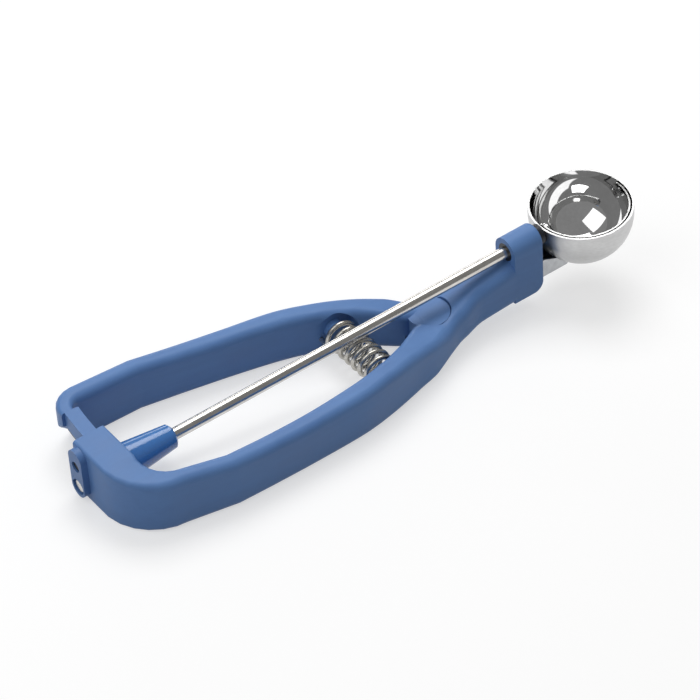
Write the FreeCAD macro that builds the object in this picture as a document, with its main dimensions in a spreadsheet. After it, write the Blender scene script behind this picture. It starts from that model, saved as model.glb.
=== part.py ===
import FreeCAD, Part
import math
import os
import re

import Sketcher

# Squeeze-handle ice cream portioner, in millimetres.
# Every piece is drawn in the rod frame: X runs along the drive rod towards the bowl,
# Y to the lever's side and Z up, with the hinge axis of the two handles crossing the rod at zero.
# One common placement then tips the whole object, so that it rests on the handles' underside.

doc = FreeCAD.newDocument("lever_ice_cream_scoop")

SIZES = {
    # bowl and scraper
    "bowl_reach": 70.8,
    "bowl_radius": 19.5,
    "bowl_wall": 0.8,
    "bowl_lip": 3.1,
    "blade_gap": 0.4,
    "blade_sheet": 0.6,
    "blade_width": 6.0,
    "hub_height": 1.6,
    "hub_radius": 2.6,
    "tip_pin_radius": 1.2,
    "tip_head_radius": 2.2,
    "tip_head_height": 0.8,
    # rod and its bearings
    "rod_radius": 2.25,
    "running_clearance": 0.05,
    "loose_clearance": 0.35,
    "tenon_radius": 1.5,
    "front_bush_wall": 1.3,
    "rear_bush_wall": 1.6,
    "ferrule_radius": 3.9,
    "ferrule_length": 2.5,
    "contact_gap": 0.03,
    # head block around the rod
    "block_length": 13.3,
    "block_half_width": 5.7,
    "block_edge": 1.1,
    "block_overlap": 0.5,
    # handles
    "rest_tilt": 6.9,
    "knee_x": -14.0,
    "underside_drop": 22.0,
    "trim_stock": 0.5,
    "arm_edge": 3.4,
    "head_edge": 4.6,
    "sleeve_end": 4.3,
    "rear_wall": 5.2,
    "front_wall": 1.6,
    "sleeve_top": 17.0,
    "sleeve_straight": 13.6,
    "sleeve_edge": 1.2,
    "bend_radius": 14.7,
    "bend_top": 13.6,
    "bar_root_side": 20.4,
    "bar_shoulder": 0.2,
    "lever_bend": 7.9,
    "rivet_length": 5.0,
    "rack_side": 0.4,
    "block_toe": 4.5,
    # hinge
    "knuckle_radius": 8.0,
    "knuckle_top": -8.2,
    "knuckle_bottom": -16.0,
    "hinge_gap": 0.35,
    "hinge_floor_radius": 9.0,
    "screw_radius": 2.5,
    "screw_head_radius": 3.8,
    "screw_head_height": 1.6,
    "washer_radius": 4.2,
    "washer_sheet": 0.6,
    "insert_radius": 4.0,
    "insert_height": 6.0,
    # rack and pinion
    "gear_module": 0.8,
    "pinion_teeth": 12,
    "tooth_addendum": 0.62,
    "tooth_dedendum": 0.95,
    "tooth_thickness": 1.1,
    "tooth_tip": 0.56,
    "tooth_root": 1.5,
    "rack_teeth": 10,
    "rack_plate": 1.7,
    "bar_outer": 142.6,
    "bar_width": 5.4,
    "bar_top": 14.2,
    "bar_gap": 0.4,
    "bar_tail_angle": 3.4,
    "bar_head_angle": 8.3,
    "squeeze_angle": 6.2,
    "rivet_radius": 0.9,
    "rivet_tail_angle": 2.7,
    "rivet_head_angle": 7.7,
    # collar on the rod
    "collar_length": 23.7,
    "collar_pin_back": 11.7,
    "collar_front_radius": 4.5,
    "collar_rear_radius": 7.1,
    "collar_pin_radius": 0.8,
    "collar_pin_tilt": 40.0,
    # rear plate
    "plate_sheet": 2.5,
    "plate_half_width": 3.9,
    "plate_bottom": 4.3,
    "plate_top": 16.8,
    "plate_rod_hole": 3.15,
    "plate_screw_hole": 2.15,
    "plate_screw_height": 9.6,
    "plate_screw_radius": 1.3,
    "plate_screw_length": 2.6,
    "clip_radius": 2.85,
    "clip_sheet": 0.8,
    "clip_gap": 0.1,
    # bracket under the bowl
    "bracket_half_width": 4.2,
    "bracket_sheet": 0.9,
    "bracket_base": 17.4,
    "bracket_rise": 9.5,
    "bracket_tail": 8.8,
    "bracket_tongue": 10.7,
    "bracket_screw_back": 5.3,
    "bracket_screw_radius": 1.3,
    # return spring
    "spring_x": -30.5,
    "spring_z": -9.8,
    "spring_coil_radius": 5.5,
    "spring_wire": 1.9,
    "spring_turns": 6.5,
    "spring_seat": 16.5,
    "spring_pocket_radius": 7.6,
    "spring_post_radius": 4.0,
    "spring_post_height": 4.0,
}

# Cross sections of the handles, each a place along the rod, the middle of the section
# to the side, its width and its top edge. Both arms share the first group.
ARM_STATIONS = {
    "palm": (-107.0, 30.2, 7.6, 9.6),
    "grip": (-89.0, 28.8, 8.0, 6.5),
    "middle": (-69.0, 26.9, 8.4, 3.8),
    "finger": (-49.0, 24.3, 9.0, 1.8),
    "front": (-34.0, 20.5, 9.4, -0.4),
    "crotch": (-21.0, 15.7, 10.6, -3.0),
}
BEND_STEPS = 6
HEAD_STATIONS = {
    "hinge_rear": (-9.0, 10.2, 14.3, -6.3),
    "hinge_middle": (0.0, 6.0, 15.0, -8.2),
    "hinge_front": (9.0, 1.4, 16.8, -7.2),
    "neck": (20.0, 0.0, 13.6, -5.0),
    "block_root": (0.0, 0.0, 12.0, -3.4),
}
LEVER_STATIONS = {
    "lever_rear": (-9.0, 8.7, 14.4, -6.3),
    "lever_hinge": (-2.0, 5.2, 9.0, -8.2),
}
for station, numbers in {**ARM_STATIONS, **HEAD_STATIONS, **LEVER_STATIONS}.items():
    for suffix, number in zip(("_x", "_side", "_width", "_top"), numbers):
        if station + suffix != "block_root_x":
            SIZES[station + suffix] = number

sheet = doc.addObject("Spreadsheet::Sheet", "Sheet")
for row, (alias, number) in enumerate(SIZES.items(), start=1):
    sheet.set("A%d" % row, alias)
    sheet.set("B%d" % row, str(number))
    sheet.setAlias("B%d" % row, alias)
doc.recompute()

# Formulas that several pieces share.
PITCH_RADIUS = "gear_module * pinion_teeth / 2"
GEAR_PITCH = "gear_module * pi"
RACK_LOW = "(%s + tooth_dedendum)" % PITCH_RADIUS
BAR_LOW = "(%s + rack_plate)" % RACK_LOW
RACK_MIDDLE = "((bar_outer + bar_inner) / 2)"
REAR_WALL_FACE = "(bar_outer + bar_gap)"
BOWL_INNER = "(bowl_radius - bowl_wall)"
BLADE_OUTER = "(bowl_radius - bowl_wall - blade_gap)"
HINGE_FLOOR_TOP = "(knuckle_bottom - hinge_gap)"

# Places that follow from the driving dimensions, by the names that formulas use.
PLACES = {
    "bar_inner": "(bar_outer - bar_width)",
    "sleeve_rear": "(bar_outer + bar_gap + rear_wall)",
    "sleeve_front": "(bar_outer - bar_width - bar_gap - front_wall)",
    "collar_front": "(bar_outer - bar_width - bar_gap - front_wall - collar_length)",
    "collar_pin_x": "(collar_pin_back - bar_outer + bar_width + bar_gap + front_wall)",
    "block_front": "(bowl_reach - bowl_radius - ferrule_length)",
    "block_rear": "(bowl_reach - bowl_radius - ferrule_length - block_length)",
    "block_root_x": "(bowl_reach - bowl_radius - ferrule_length - block_length + block_overlap)",
    "bracket_root": "(bowl_reach - bowl_radius - ferrule_length - bracket_tail)",
    "bracket_reach": "(bowl_reach - bowl_radius + bracket_tongue)",
    "bracket_screw_x": "(bowl_reach - bowl_radius - ferrule_length - bracket_screw_back)",
}


def linked(text):
    """Turns the names of driving dimensions in a formula into links to the sheet."""
    for name, formula in PLACES.items():
        text = re.sub(r"(?<![a-z_0-9])%s(?![a-z_0-9])" % name, formula, text)
    return re.sub(r"(?<![a-z_0-9.])(?!pi\b)[a-z][a-z_0-9]+(?![a-z_0-9(])", r"Sheet.\g<0>", text)


def amount(text):
    """Works a formula out, for the first drawing of a sketch and for free-form shapes."""
    result = sheet.evalExpression(linked(str(text)))
    return float(getattr(result, "Value", result))


def bind(item, prop, text):
    """Binds one property of an object to a formula in driving dimensions."""
    item.setExpression(prop, linked(str(text)))


def new_body(label):
    body = doc.addObject("PartDesign::Body", label)
    body.Label = label
    return body


def origin_plane(body, role):
    return [item for item in body.Origin.OriginFeatures if item.Role == role][0]


def new_sketch(body, name, role, shift=("0", "0", "0"), turn=None):
    """A sketch on one of the body's own planes, shifted in the plane's axes and turned about its upright."""
    sketch = body.newObject("Sketcher::SketchObject", name)
    sketch.AttachmentSupport = (origin_plane(body, role), [""])
    sketch.MapMode = "FlatFace"
    if turn is not None:
        sketch.AttachmentOffset = FreeCAD.Placement(
            FreeCAD.Vector(), FreeCAD.Rotation(FreeCAD.Vector(0, 1, 0), amount(turn)))
    for letter, text in zip("xyz", shift):
        bind(sketch, "AttachmentOffset.Base." + letter, text)
    return sketch


def fix_point(sketch, geometry, end, across, up):
    """Ties one end of a line or arc, or an arc's centre, to two formulas."""
    for kind, text in (("DistanceX", across), ("DistanceY", up)):
        index = sketch.addConstraint(Sketcher.Constraint(kind, -1, 1, geometry, end, amount(text)))
        bind(sketch, "Constraints[%d]" % index, text)


def outline(body, name, role, points, shift=("0", "0", "0"), turn=None):
    """A closed polygon whose corners are each tied to two formulas."""
    sketch = new_sketch(body, name, role, shift, turn)
    spots = [FreeCAD.Vector(amount(across), amount(up), 0) for across, up in points]
    count = len(spots)
    for index in range(count):
        sketch.addGeometry(Part.LineSegment(spots[index], spots[(index + 1) % count]), False)
    for index in range(count):
        sketch.addConstraint(Sketcher.Constraint("Coincident", index, 2, (index + 1) % count, 1))
    for index, (across, up) in enumerate(points):
        fix_point(sketch, index, 1, across, up)
    return sketch


def section(body, name, along, side, turn, width, top, bottom, edge):
    """An upright rounded rectangle across a handle, with round edges of one radius."""
    sketch = new_sketch(body, name, "YZ_Plane", (side, "0", along), turn)
    right, high, low, radius = amount(width) / 2, amount(top), amount(bottom), amount(edge)
    left = -right
    vector = FreeCAD.Vector
    quarter = math.pi / 2
    sides = [
        (vector(left + radius, low, 0), vector(right - radius, low, 0)),
        (vector(right, low + radius, 0), vector(right, high - radius, 0)),
        (vector(right - radius, high, 0), vector(left + radius, high, 0)),
        (vector(left, high - radius, 0), vector(left, low + radius, 0)),
    ]
    corners = [
        (vector(right - radius, low + radius, 0), 3 * quarter),
        (vector(right - radius, high - radius, 0), 0.0),
        (vector(left + radius, high - radius, 0), quarter),
        (vector(left + radius, low + radius, 0), 2 * quarter),
    ]
    for (start, finish), (centre, first) in zip(sides, corners):
        sketch.addGeometry(Part.LineSegment(start, finish), False)
        circle = Part.Circle(centre, vector(0, 0, 1), radius)
        sketch.addGeometry(Part.ArcOfCircle(circle, first, first + quarter), False)
    for index in range(4):
        line, arc, following = 2 * index, 2 * index + 1, (2 * index + 2) % 8
        sketch.addConstraint(Sketcher.Constraint("Tangent", line, 2, arc, 1))
        sketch.addConstraint(Sketcher.Constraint("Tangent", arc, 2, following, 1))
    for line in (0, 4):
        sketch.addConstraint(Sketcher.Constraint("Horizontal", line))
    for line in (2, 6):
        sketch.addConstraint(Sketcher.Constraint("Vertical", line))
    for arc in (3, 5, 7):
        sketch.addConstraint(Sketcher.Constraint("Equal", 1, arc))
    tied = [
        (Sketcher.Constraint("Radius", 1, radius), edge),
        (Sketcher.Constraint("DistanceX", -1, 1, 2, 1, right), "%s / 2" % width),
        (Sketcher.Constraint("DistanceX", -1, 1, 6, 1, left), "-%s / 2" % width),
        (Sketcher.Constraint("DistanceY", -1, 1, 4, 1, high), top),
        (Sketcher.Constraint("DistanceY", -1, 1, 0, 1, low), bottom),
    ]
    for constraint, text in tied:
        index = sketch.addConstraint(constraint)
        bind(sketch, "Constraints[%d]" % index, text)
    return sketch


AXIS_TURNS = {
    "X": FreeCAD.Rotation(FreeCAD.Vector(0, 1, 0), 90),
    "Y": FreeCAD.Rotation(FreeCAD.Vector(1, 0, 0), -90),
    "Z": FreeCAD.Rotation(),
}


def cylinder(body, kind, name, axis, start, radius, height):
    """Adds or cuts a cylinder that runs from its start along one axis."""
    item = body.newObject("PartDesign::%sCylinder" % kind, name)
    item.Placement = FreeCAD.Placement(FreeCAD.Vector(), AXIS_TURNS[axis])
    for letter, text in zip("xyz", start):
        bind(item, "Placement.Base." + letter, text)
    bind(item, "Radius", radius)
    bind(item, "Height", height)
    item.Refine = False
    return item


def block(body, kind, name, low, span):
    """Adds or cuts a box given by its low corner and its three lengths."""
    item = body.newObject("PartDesign::%sBox" % kind, name)
    for letter, text in zip("xyz", low):
        bind(item, "Placement.Base." + letter, text)
    for prop, text in zip(("Length", "Width", "Height"), span):
        bind(item, prop, text)
    item.Refine = False
    return item


def turned(label, axis, points, centre=("0", "0")):
    """A piece turned about X or Z: its half outline gives along-axis place and radius."""
    body = new_body(label)
    corners = points if axis == "X" else [(radius, along) for along, radius in points]
    profile = outline(body, label + "_profile", "XZ_Plane", corners, (centre[0], centre[1], "0"))
    spin = body.newObject("PartDesign::Revolution", label + "_turned")
    spin.Profile = profile
    spin.ReferenceAxis = (profile, ["H_Axis" if axis == "X" else "V_Axis"])
    spin.Angle = 360
    body.Tip = spin
    return body


def sector(body, kind, name, inner, outer, low, high, middle, sweep):
    """Adds or cuts a curved bar about the hinge axis, centred on one direction."""
    corners = [(inner, low), (outer, low), (outer, high), (inner, high)]
    profile = outline(body, name + "_profile", "XZ_Plane", corners, turn=middle)
    bind(profile, "AttachmentOffset.Rotation.Angle", middle)
    spin = body.newObject("PartDesign::" + kind, name)
    spin.Profile = profile
    spin.ReferenceAxis = (profile, ["V_Axis"])
    spin.Midplane = True
    spin.Refine = False
    bind(spin, "Angle", sweep)
    return spin


def underside(along):
    """Height of a section's lower edge at a place behind the knee, with stock for the trim."""
    return "-underside_drop - trim_stock + (knee_x - (%s)) * tan(rest_tilt)" % along


def trim_underside(body):
    """Planes both parts of the underside: level under the head, tipped under the arms."""
    head = block(body, "Subtractive", "head_trim", ("knee_x - 5", "-sleeve_rear", "-underside_drop - 30"),
                 ("bowl_reach", "2 * sleeve_rear", "30"))
    arms = block(body, "Subtractive", "arm_trim", (
        "knee_x - 2 * sleeve_rear * cos(rest_tilt) - 30 * sin(rest_tilt)", "-sleeve_rear",
        "-underside_drop + 2 * sleeve_rear * sin(rest_tilt) - 30 * cos(rest_tilt)"),
        ("3 * sleeve_rear", "2 * sleeve_rear", "30"))
    bind(arms, "Placement.Rotation.Angle", "rest_tilt")
    arms.Placement = FreeCAD.Placement(
        arms.Placement.Base, FreeCAD.Rotation(FreeCAD.Vector(0, 1, 0), amount("rest_tilt")))
    return head


def loft(body, name, profiles):
    item = body.newObject("PartDesign::AdditiveLoft", name)
    item.Profile = profiles[0]
    item.Sections = profiles[1:]
    item.Ruled = True
    item.Refine = False
    return item


def arm_sections(body, prefix, sign):
    """The sections that both arms share, on the side that the sign gives."""
    sections = []
    for station in ARM_STATIONS:
        along = station + "_x"
        sections.append(section(
            body, prefix + station, along, "%s%s_side" % (sign, station), "0",
            station + "_width", station + "_top", underside(along), "arm_edge"))
    return sections


def station_section(body, station, sign, bottom, edge):
    return section(
        body, "section_" + station, station + "_x", "%s%s_side" % (sign, station), "0",
        station + "_width", station + "_top", bottom, edge)


def bend_sections(body, prefix, sign, centre, start, reach, width, high, low, edge, steps):
    """Sections round a rear corner, from the cross piece's own to the arm's."""
    sections = []
    for step in steps:
        angle = 90.0 * step / BEND_STEPS
        done = "(%g)" % (step / BEND_STEPS)
        along = "(%s + %s * (1 - cos(%g)))" % (centre, reach, angle)
        side = "%s(%s + %s * sin(%g))" % (sign, start, reach, angle)
        bottom = "(%s) * (1 - %s) + (%s) * %s" % (low, done, underside(along), done)
        sections.append(section(
            body, "%sbend_%d" % (prefix, step), along, side, "%s%g" % (sign, 90 - angle),
            "(%s + (palm_width - %s) * %s)" % (width, width, done),
            "(%s + (bend_top - %s) * %s)" % (high, high, done), bottom,
            "(%s + (arm_edge - %s) * %s)" % (edge, edge, done)))
    return sections


def round_edges(body, name, radius, wanted):
    """Rounds those edges of the body's last shape that pass a test."""
    doc.recompute()
    base = body.Tip
    names = ["Edge%d" % (index + 1) for index, edge in enumerate(base.Shape.Edges) if wanted(edge)]
    item = body.newObject("PartDesign::Fillet", name)
    item.Base = (base, names)
    item.Refine = False
    bind(item, "Radius", radius)
    return item


def spring_seat(body, prefix, sign):
    """A flat round pocket in an arm's inner face, with the post that holds the spring's end."""
    start = "spring_seat" if sign == "-" else "0 - spring_seat"
    away = "-spring_seat" if sign == "-" else "0"
    cylinder(body, "Subtractive", prefix + "spring_pocket", "Y", ("spring_x", away, "spring_z"),
             "spring_pocket_radius", "spring_seat")
    low = "-spring_seat - arm_edge" if sign == "-" else "spring_seat - spring_post_height"
    cylinder(body, "Additive", prefix + "spring_post", "Y", ("spring_x", low, "spring_z"),
             "spring_post_radius", "spring_post_height + arm_edge")
    return start


def main_handle():
    """Near arm, head and the hollow rear cross piece, as one moulding."""
    body = new_body("main_handle")
    rear_middle = "-(sleeve_rear + sleeve_front) / 2"
    rear_width = "(sleeve_rear - sleeve_front)"
    rear_bottom = underside("-sleeve_rear")
    mouth = section(body, "sleeve_mouth", rear_middle, "sleeve_end", "-90", rear_width,
                    "sleeve_top", rear_bottom, "sleeve_edge")
    sections = bend_sections(body, "near_", "-", rear_middle, "sleeve_straight", "bend_radius",
                             rear_width, "sleeve_top", rear_bottom, "sleeve_edge",
                             range(0, BEND_STEPS + 1))
    sections = [mouth] + sections + arm_sections(body, "near_", "-")
    low = "-underside_drop - trim_stock"
    sections.append(station_section(body, "hinge_rear", "-", low, "arm_edge"))
    for station in list(HEAD_STATIONS)[1:]:
        sections.append(station_section(body, station, "-", low, "head_edge"))
    loft(body, "arm_and_head", sections)
    trim_underside(body)
    cylinder(body, "Additive", "hinge_floor", "Z", ("0", "0", "-underside_drop"),
             "hinge_floor_radius", HINGE_FLOOR_TOP + " + underside_drop")
    head_block(body)
    cylinder(body, "Subtractive", "knuckle_seat", "Z", ("0", "0", HINGE_FLOOR_TOP),
             "knuckle_radius + hinge_gap", "underside_drop")
    cylinder(body, "Subtractive", "hinge_bore", "Z", ("0", "0", "-underside_drop - 1"),
             "screw_radius + running_clearance", "underside_drop")
    cylinder(body, "Subtractive", "screw_counterbore", "Z", ("0", "0", "-underside_drop - 1"),
             "washer_radius + loose_clearance", "1 + screw_head_height + washer_sheet + loose_clearance")
    sector(body, "Groove", "bar_slot", "bar_inner - bar_gap", REAR_WALL_FACE,
           PITCH_RADIUS + " - tooth_addendum - bar_gap", "bar_top + bar_gap",
           "180 - (bar_head_angle - bar_tail_angle - squeeze_angle) / 2",
           "bar_head_angle + bar_tail_angle + squeeze_angle + 1")
    cylinder(body, "Subtractive", "pinion_chamber", "X", ("-" + REAR_WALL_FACE, "0", "0"),
             PITCH_RADIUS + " + tooth_addendum + bar_gap", REAR_WALL_FACE + " - sleeve_front + 1")
    cylinder(body, "Subtractive", "rear_bush_seat", "X", ("-sleeve_rear - 1", "0", "0"),
             "rod_radius + running_clearance + rear_bush_wall", "sleeve_rear + 1 - " + REAR_WALL_FACE)
    cylinder(body, "Subtractive", "plate_screw_pilot", "X",
             ("-sleeve_rear - 1", "0", "plate_screw_height"), "plate_screw_radius",
             "plate_screw_length + 1")
    spring_seat(body, "near_", "-")
    return body


def head_block(body):
    """The upright block that carries the rod and the bowl's bracket."""
    profile = new_sketch(body, "block_profile", "YZ_Plane", ("0", "0", "block_rear"))
    half = amount("block_half_width")
    low = -amount("underside_drop")
    vector = FreeCAD.Vector
    profile.addGeometry(Part.LineSegment(vector(-half, 0, 0), vector(-half, low, 0)), False)
    profile.addGeometry(Part.LineSegment(vector(-half, low, 0), vector(half, low, 0)), False)
    profile.addGeometry(Part.LineSegment(vector(half, low, 0), vector(half, 0, 0)), False)
    crown = Part.Circle(vector(0, 0, 0), vector(0, 0, 1), half)
    profile.addGeometry(Part.ArcOfCircle(crown, 0, math.pi), False)
    profile.addConstraint(Sketcher.Constraint("Coincident", 0, 2, 1, 1))
    profile.addConstraint(Sketcher.Constraint("Coincident", 1, 2, 2, 1))
    profile.addConstraint(Sketcher.Constraint("Tangent", 2, 2, 3, 1))
    profile.addConstraint(Sketcher.Constraint("Tangent", 3, 2, 0, 1))
    profile.addConstraint(Sketcher.Constraint("Coincident", 3, 3, -1, 1))
    profile.addConstraint(Sketcher.Constraint("Vertical", 0))
    fix_point(profile, 0, 2, "-block_half_width", "-underside_drop")
    fix_point(profile, 1, 2, "block_half_width", "-underside_drop")
    pad = body.newObject("PartDesign::Pad", "block")
    pad.Profile = profile
    bind(pad, "Length", "block_front - block_rear")
    pad.Refine = False
    body.Tip = pad
    front = amount("block_front")
    low_edge = -amount("underside_drop")

    def bottom_front(edge):
        box = edge.BoundBox
        return abs(box.XMin - front) < 0.01 and abs(box.XMax - front) < 0.01 and box.ZMax < low_edge + 0.01

    round_edges(body, "block_toe", "block_toe", bottom_front)
    doc.recompute()

    def rim(edge):
        box = edge.BoundBox
        return abs(box.XMin - front) < 0.01 and abs(box.XMax - front) < 0.01

    round_edges(body, "block_rim", "block_edge", rim)
    cylinder(body, "Subtractive", "bush_seat", "X", ("block_rear - 1", "0", "0"),
             "rod_radius + running_clearance + front_bush_wall", "block_front - block_rear + 2")
    block(body, "Subtractive", "bracket_slot",
          ("bracket_root", "-bracket_half_width", "-bracket_base"),
          ("block_front - bracket_root + 1", "2 * bracket_half_width", "bracket_base - bracket_rise"))
    cylinder(body, "Subtractive", "bracket_screw_hole", "Z",
             ("bracket_screw_x", "0", "-underside_drop - 1"), "bracket_screw_radius",
             "underside_drop + 1 - bracket_base")
    cylinder(body, "Subtractive", "bracket_screw_recess", "Z",
             ("bracket_screw_x", "0", "-underside_drop - 1"), "2 * bracket_screw_radius + 0.1", "2.6")


def lever_handle():
    """Far arm with its knuckle at the hinge and the curved bar that runs in the cross piece."""
    body = new_body("lever_handle")
    centre = "-" + RACK_MIDDLE
    width = "(bar_outer - bar_inner - 2 * bar_shoulder)"
    low = "(%s + bar_shoulder)" % BAR_LOW
    high = "(bar_top - bar_shoulder)"
    sections = bend_sections(body, "far_", "", centre, "bar_root_side", "lever_bend", width, high,
                             low, "sleeve_edge", range(0, BEND_STEPS + 1))
    sections += arm_sections(body, "far_", "")
    for station in LEVER_STATIONS:
        sections.append(station_section(
            body, station, "", "-underside_drop - trim_stock", "arm_edge"))
    loft(body, "arm", sections)
    trim_underside(body)
    cylinder(body, "Subtractive", "floor_relief", "Z", ("0", "0", "-underside_drop - 1"),
             "hinge_floor_radius + 2 * hinge_gap", "underside_drop + 1 + knuckle_bottom")
    cylinder(body, "Additive", "knuckle", "Z", ("0", "0", "knuckle_bottom"), "knuckle_radius",
             "knuckle_top - knuckle_bottom")
    sector(body, "Revolution", "bar", "bar_inner", "bar_outer", BAR_LOW, "bar_top",
           "180 - (bar_head_angle - bar_tail_angle) / 2", "bar_head_angle + bar_tail_angle")
    cylinder(body, "Subtractive", "insert_seat", "Z", ("0", "0", "knuckle_bottom - 1"),
             "insert_radius", "insert_height + 1")
    for name, angle in (("tail_rivet", "rivet_tail_angle"), ("head_rivet", "-rivet_head_angle")):
        across = "-%s * cos(%s)" % (RACK_MIDDLE, angle)
        aside = "-%s * sin(%s)" % (RACK_MIDDLE, angle)
        cylinder(body, "Subtractive", name + "_hole", "Z", (across, aside, BAR_LOW),
                 "rivet_radius", "rivet_length - rack_plate")
    spring_seat(body, "far_", "+")
    return body


def tooth_points(root, tip, root_half, tip_half):
    return [("-" + root_half, root), (root_half, root), (tip_half, tip), ("-" + tip_half, tip)]


def rack():
    """Toothed steel strip under the bar; its teeth point down and run towards the hinge."""
    body = new_body("rack")
    sector(body, "Revolution", "strip", "bar_inner + rack_side", "bar_outer - rack_side",
           RACK_LOW, BAR_LOW, "180 - (bar_head_angle - bar_tail_angle) / 2",
           "bar_head_angle + bar_tail_angle - 0.2")
    middle = "(1 - 2.5) * -%s" % GEAR_PITCH
    corners = [("%s * -1 + (%s)" % (middle, across), up) for across, up in tooth_points(
        RACK_LOW + " + 0.2", PITCH_RADIUS + " - tooth_addendum", "tooth_root / 2", "tooth_tip / 2")]
    profile = outline(body, "tooth_profile", "YZ_Plane", corners,
                      ("0", "0", "-bar_outer + rack_side"))
    tooth = body.newObject("PartDesign::Pad", "tooth")
    tooth.Profile = profile
    bind(tooth, "Length", "bar_outer - bar_inner - 2 * rack_side")
    pattern = body.newObject("PartDesign::PolarPattern", "teeth")
    pattern.Originals = [tooth]
    pattern.Axis = (profile, ["V_Axis"])
    bind(pattern, "Angle", "(rack_teeth - 1) * %s / %s * 180 / pi" % (GEAR_PITCH, RACK_MIDDLE))
    bind(pattern, "Occurrences", "rack_teeth")
    pattern.Reversed = True
    body.Tip = pattern
    for name, angle in (("tail_rivet", "rivet_tail_angle"), ("head_rivet", "-rivet_head_angle")):
        across = "-%s * cos(%s)" % (RACK_MIDDLE, angle)
        aside = "-%s * sin(%s)" % (RACK_MIDDLE, angle)
        cylinder(body, "Subtractive", name + "_hole", "Z", (across, aside, RACK_LOW + " - 1"),
                 "rivet_radius", "rack_plate + 2")
    return body


def rack_rivets():
    """Two steel rivets that hold the rack strip to the bar."""
    body = new_body("rack_rivets")
    pins = []
    for name, angle in (("tail_rivet", "rivet_tail_angle"), ("head_rivet", "-rivet_head_angle")):
        pin = doc.addObject("Part::Cylinder", name)
        bind(pin, "Placement.Base.x", "-%s * cos(%s)" % (RACK_MIDDLE, angle))
        bind(pin, "Placement.Base.y", "-%s * sin(%s)" % (RACK_MIDDLE, angle))
        bind(pin, "Placement.Base.z", RACK_LOW)
        bind(pin, "Radius", "rivet_radius")
        bind(pin, "Height", "rivet_length")
        pins.append(pin)
    doc.removeObject(body.Name)
    group = doc.addObject("Part::Compound", "rack_rivets")
    group.Label = "rack_rivets"
    group.Links = pins
    return group


def pinion():
    """Small steel gear pressed on the rod; one tooth stands straight up at rest."""
    body = new_body("pinion")
    back = "-(bar_outer - rack_side)"
    cylinder(body, "Additive", "blank", "X", (back, "0", "0"), PITCH_RADIUS + " - tooth_dedendum",
             "bar_outer - bar_inner - 2 * rack_side")
    corners = tooth_points(PITCH_RADIUS + " - tooth_dedendum - 0.3", PITCH_RADIUS + " + tooth_addendum",
                           "tooth_root / 2", "tooth_tip / 2")
    profile = outline(body, "pinion_tooth_profile", "YZ_Plane", corners, ("0", "0", back))
    tooth = body.newObject("PartDesign::Pad", "pinion_tooth")
    tooth.Profile = profile
    bind(tooth, "Length", "bar_outer - bar_inner - 2 * rack_side")
    pattern = body.newObject("PartDesign::PolarPattern", "pinion_teeth_ring")
    pattern.Originals = [tooth]
    pattern.Axis = (profile, ["N_Axis"])
    pattern.Angle = 360
    bind(pattern, "Occurrences", "pinion_teeth")
    body.Tip = pattern
    cylinder(body, "Subtractive", "pinion_bore", "X", ("-bar_outer - 1", "0", "0"), "rod_radius",
             "bar_outer - bar_inner + 2")
    return body


def drive_rod():
    end = "-(sleeve_rear + plate_sheet - 0.6)"
    shoulder = "bowl_reach - %s" % BLADE_OUTER
    tip = "bowl_reach - %s + blade_sheet + hub_height * 0.6" % BLADE_OUTER
    body = turned("drive_rod", "X", [
        (end, "0"), (end, "rod_radius"), (shoulder, "rod_radius"), (shoulder, "tenon_radius"),
        (tip, "tenon_radius"), (tip, "0")])
    lay_pin(cylinder(body, "Subtractive", "rod_pin_hole", "Z", ("collar_pin_x", "0", "0"),
                     "collar_pin_radius", "1"))
    return body


def drive_collar():
    """Tapered collar on the rod, drilled for its cross pin."""
    rear = "-(sleeve_front - bar_gap / 2)"
    front = "-collar_front"
    body = turned("drive_collar", "X", [
        (rear, "rod_radius"), (rear, "collar_rear_radius"),
        (front + " - 0.8", "collar_front_radius + 0.1"), (front, "collar_front_radius - 0.8"),
        (front, "rod_radius")])
    lay_pin(cylinder(body, "Subtractive", "pin_hole", "Z", ("collar_pin_x", "0", "0"),
                     "collar_pin_radius", "1"))
    return body


def lay_pin(item):
    """Lays the collar's cross pin through the rod at its tilt."""
    half = "(collar_front_radius + collar_rear_radius) / 2 - 0.4"
    item.Placement = FreeCAD.Placement(
        FreeCAD.Vector(), FreeCAD.Rotation(FreeCAD.Vector(1, 0, 0), amount("collar_pin_tilt")))
    bind(item, "Placement.Base.x", "collar_pin_x")
    bind(item, "Placement.Base.y", "(%s) * sin(collar_pin_tilt)" % half)
    bind(item, "Placement.Base.z", "-(%s) * cos(collar_pin_tilt)" % half)
    bind(item, "Height", "2 * (%s)" % half)


def collar_pin():
    body = new_body("collar_pin")
    lay_pin(cylinder(body, "Additive", "pin", "Z", ("collar_pin_x", "0", "0"),
                     "collar_pin_radius", "1"))
    return body


def rear_plate():
    """Upright plate with round ends: the rod ends in its lower hole, a screw sits in the upper."""
    body = new_body("rear_plate")
    span = "(plate_top + plate_bottom - 2 * plate_half_width)"
    block(body, "Additive", "plate", ("-sleeve_rear - plate_sheet", "-plate_half_width",
          "plate_half_width - plate_bottom"), ("plate_sheet", "2 * plate_half_width", span))
    for name, height in (("lower_end", "plate_half_width - plate_bottom"),
                         ("upper_end", "plate_top - plate_half_width")):
        cylinder(body, "Additive", name, "X", ("-sleeve_rear - plate_sheet", "0", height),
                 "plate_half_width", "plate_sheet")
    cylinder(body, "Subtractive", "rod_hole", "X", ("-sleeve_rear - plate_sheet - 1", "0", "0"),
             "plate_rod_hole", "plate_sheet + 2")
    cylinder(body, "Subtractive", "screw_hole", "X",
             ("-sleeve_rear - plate_sheet - 1", "0", "plate_screw_height"), "plate_screw_radius",
             "plate_sheet + 2")
    cylinder(body, "Subtractive", "screw_recess", "X",
             ("-sleeve_rear - plate_sheet - 1", "0", "plate_screw_height"), "plate_screw_hole",
             "plate_sheet")
    return body


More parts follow.
